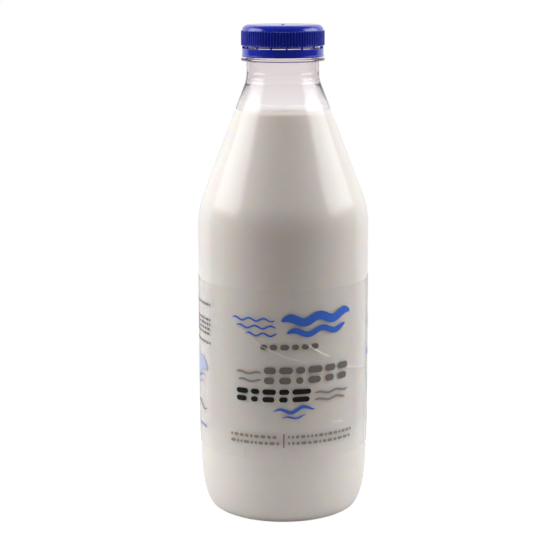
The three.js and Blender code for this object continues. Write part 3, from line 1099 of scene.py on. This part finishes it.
def soft_box(name, middle, size, radiance, reflected):
    """A lamp panel that shines straight down until it's turned. Only a reflected one shows in gloss."""
    lamp = bpy.data.lights.new(name, "AREA")
    lamp.shape = "RECTANGLE"
    lamp.size, lamp.size_y = size
    lamp.energy = radiance * math.pi * size[0] * size[1]
    panel = bpy.data.objects.new(name, lamp)
    panel.location = middle
    panel.visible_camera = False
    panel.visible_glossy = reflected
    panel.visible_transmission = reflected
    scene.collection.objects.link(panel)
    if reflected:
        soften(lamp)
    return panel


def side_pair(name, distance, height, size, left, right, reflected):
    """A panel at each side, upright. The two sides differ a little, as in the photo."""
    for side, turn, radiance in (("left", -90, left), ("right", 91, right)):
        a = math.radians(turn)
        way = Vector((math.sin(a), -math.cos(a), 0.0))
        panel = soft_box(f"{side}_{name}", way * distance + Vector((0, 0, height)), size, radiance, reflected)
        panel.rotation_euler = way.to_track_quat("Z", "Y").to_euler()


side_pair("soft_box", 1.2, 0.82, (1.5, 1.16), 3.1, 3.2, True)
side_pair("near_fill", 0.30, 0.20, (0.28, 0.18), 2.3, 1.5, False)
soft_box("overhead_fill", Vector((0, 0.30, 1.05)), (1.3, 1.2), 2.0, False)
print("lamps:", sorted(lamp.name for lamp in bpy.data.lights))

# %% [markdown]
# The background does the rest. The camera sees plain white. Matt surfaces and reflections see a room
# that is dim in front of the bottle and bright behind it, and what is seen through clear plastic goes
# from grey to white in the same direction. A plain white world would be simpler, but it would light
# the bottle's front as much as its sides. A ray's own direction decides, not the camera's place.

# %% Background and dim room
ROOM_LIGHT = (0.156, 0.134, 0.118)
ROOM_REFLECTED = (0.03, 0.03, 0.03)
WINDOW_LIGHT = (0.75, 0.75, 0.75)
WINDOW_EDGE = (0.30, 0.55)
BACKDROP = (0.96, 0.925, 0.93)
BACKDROP_FRONT = (0.30, 0.29, 0.295)
BACKDROP_EDGE = (0.45, 1.0)
world = bpy.data.worlds.new("studio")
scene.world = world
world.use_nodes = True
room = world.node_tree
room.nodes.clear()
view = add(room, "ShaderNodeSeparateXYZ", {0: room.nodes.new("ShaderNodeTexCoord").outputs["Generated"]})


def front_to_back(edge, front, back):
    """Light that changes from the front colour to the back one as rays point away behind the bottle."""
    share = add(room, "ShaderNodeMapRange", {"Value": view.outputs["Y"], "From Min": edge[0],
                                             "From Max": edge[1]}, interpolation_type="SMOOTHSTEP").outputs[0]
    return add(room, "ShaderNodeBackground", {"Color": blended(room, share, front, back)})


lighting = front_to_back(WINDOW_EDGE, ROOM_LIGHT, WINDOW_LIGHT)
reflected = front_to_back(WINDOW_EDGE, ROOM_REFLECTED, WINDOW_LIGHT)
refracted = front_to_back(BACKDROP_EDGE, BACKDROP_FRONT, BACKDROP)
plain_white = add(room, "ShaderNodeBackground", {"Color": (1, 1, 1, 1)})
ray = room.nodes.new("ShaderNodeLightPath")
not_through = add(room, "ShaderNodeMixShader", {
    0: ray.outputs["Is Glossy Ray"], 1: lighting.outputs[0], 2: reflected.outputs[0]})
not_seen = add(room, "ShaderNodeMixShader", {
    0: ray.outputs["Is Transmission Ray"], 1: not_through.outputs[0], 2: refracted.outputs[0]})
whole = add(room, "ShaderNodeMixShader", {
    0: ray.outputs["Is Camera Ray"], 1: not_seen.outputs[0], 2: plain_white.outputs[0]})
room.links.new(whole.outputs[0], add(room, "ShaderNodeOutputWorld").inputs["Surface"])
scene.view_settings.view_transform = "Standard"
print(f"background: {len(room.nodes)} nodes")

# %% [markdown]
# The camera has a long lens and looks down on the bottle a little, from just above its cap. It could
# be placed by eye, but small errors show at once in the ellipses of the cap and the base. So its place
# was fitted to the bottle's outline in the photo.

# %% Camera
CAMERA_AWAY = 0.7656
CAMERA_HEIGHT = 0.2667
CAMERA_ASIDE = -0.0013
CAMERA_DOWN = math.radians(11.218)
CAMERA_ROLL = math.radians(0.12)
lens = bpy.data.cameras.new("camera")
lens.lens = 100.0
lens.sensor_width = 36.0
camera = bpy.data.objects.new("camera", lens)
camera.location = (CAMERA_ASIDE, -CAMERA_AWAY, CAMERA_HEIGHT)
camera.rotation_euler = (math.pi / 2 - CAMERA_DOWN, CAMERA_ROLL, 0.0)
scene.collection.objects.link(camera)
scene.camera = camera
print(f"camera: {lens.lens} mm lens, {CAMERA_AWAY} m from the axis")
